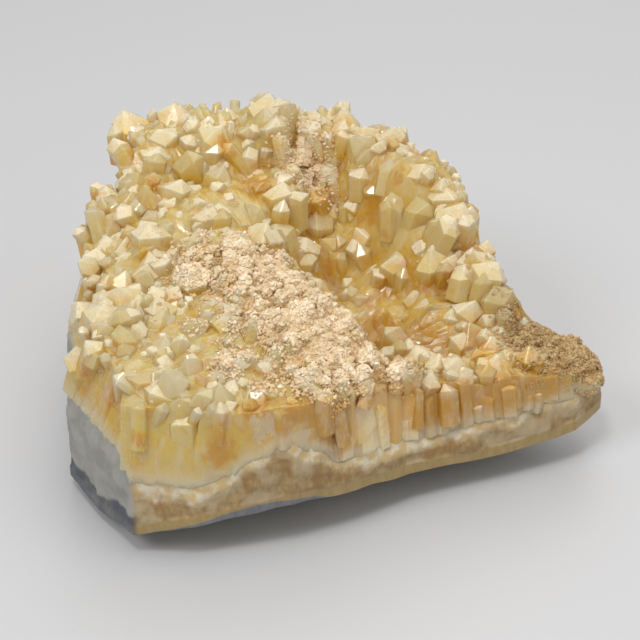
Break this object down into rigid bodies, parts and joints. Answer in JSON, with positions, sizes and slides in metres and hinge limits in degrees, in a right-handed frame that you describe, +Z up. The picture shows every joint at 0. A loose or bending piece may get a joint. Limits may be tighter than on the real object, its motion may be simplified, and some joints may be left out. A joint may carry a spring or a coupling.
{
  "type": "citrine cluster",
  "caption": "Broken piece of geode wall: a crust of citrine quartz points with a sugary ridge, grown on a banded chalcedony base with a flat to rest on.",
  "frame": {"origin": "on the surface that the piece rests on, under the middle of its box", "axes": "+Z up; X along the long broken face, with the low spur at +X; the long broken face looks towards -Y"},
  "size_m": [0.1054, 0.0904, 0.0559],
  "materials": {
    "chalcedony": "tan fibrous fracture under a scalloped white band, white-grey at the left end, a smooth olive-tan skin and a thin grey translucent rim below",
    "citrine": "cloudy pale yellow quartz, cream-white tips, amber in the clefts, and a cream sugary crust on the ridge and on the spur"
  },
  "bodies": {
    "root": {"chalcedony_base": "chalcedony", "citrine_crystals": "citrine"}
  },
  "joints": []
}
